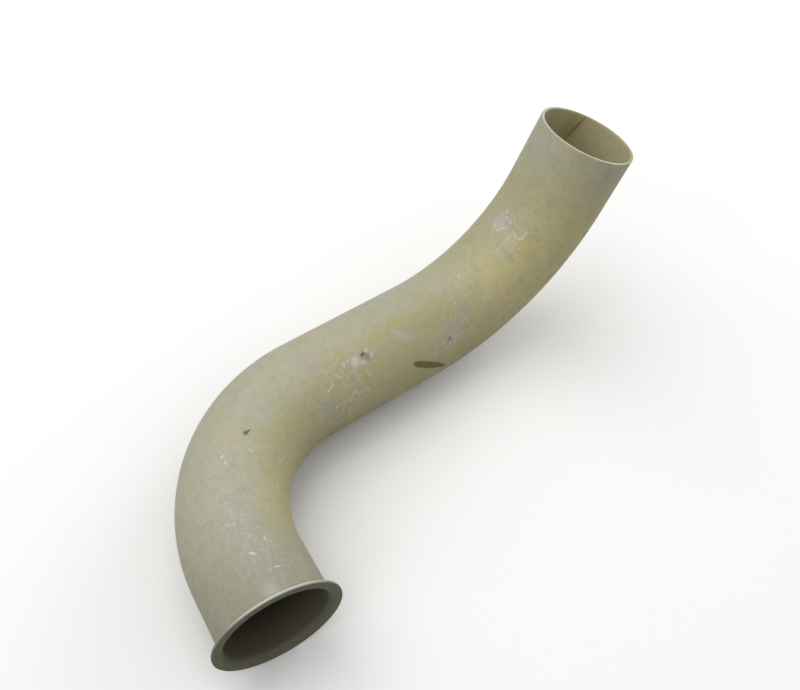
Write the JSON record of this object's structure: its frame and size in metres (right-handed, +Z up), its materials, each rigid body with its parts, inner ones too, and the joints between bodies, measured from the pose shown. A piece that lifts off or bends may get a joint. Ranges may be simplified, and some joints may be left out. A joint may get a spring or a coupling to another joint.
{
  "type": "intake tube",
  "caption": "Thin bent aluminium air intake tube with a formed lip on one end and a plain hose end on the other, its bends in different planes.",
  "frame": {"origin": "on the surface it lies on, under the middle of its bounding box", "axes": "+X along the straight run towards the bend that rises to the plain end, +Z up as it lies, and the lipped leg leaves towards -Y"},
  "size_m": [0.2962, 0.1236, 0.1239],
  "materials": {
    "chromated_aluminium": "satin aluminium with a thin yellow-olive chromate conversion coating, bare on the sawn edge"
  },
  "bodies": {
    "root": {"intake_tube": "chromated_aluminium"}
  },
  "joints": []
}
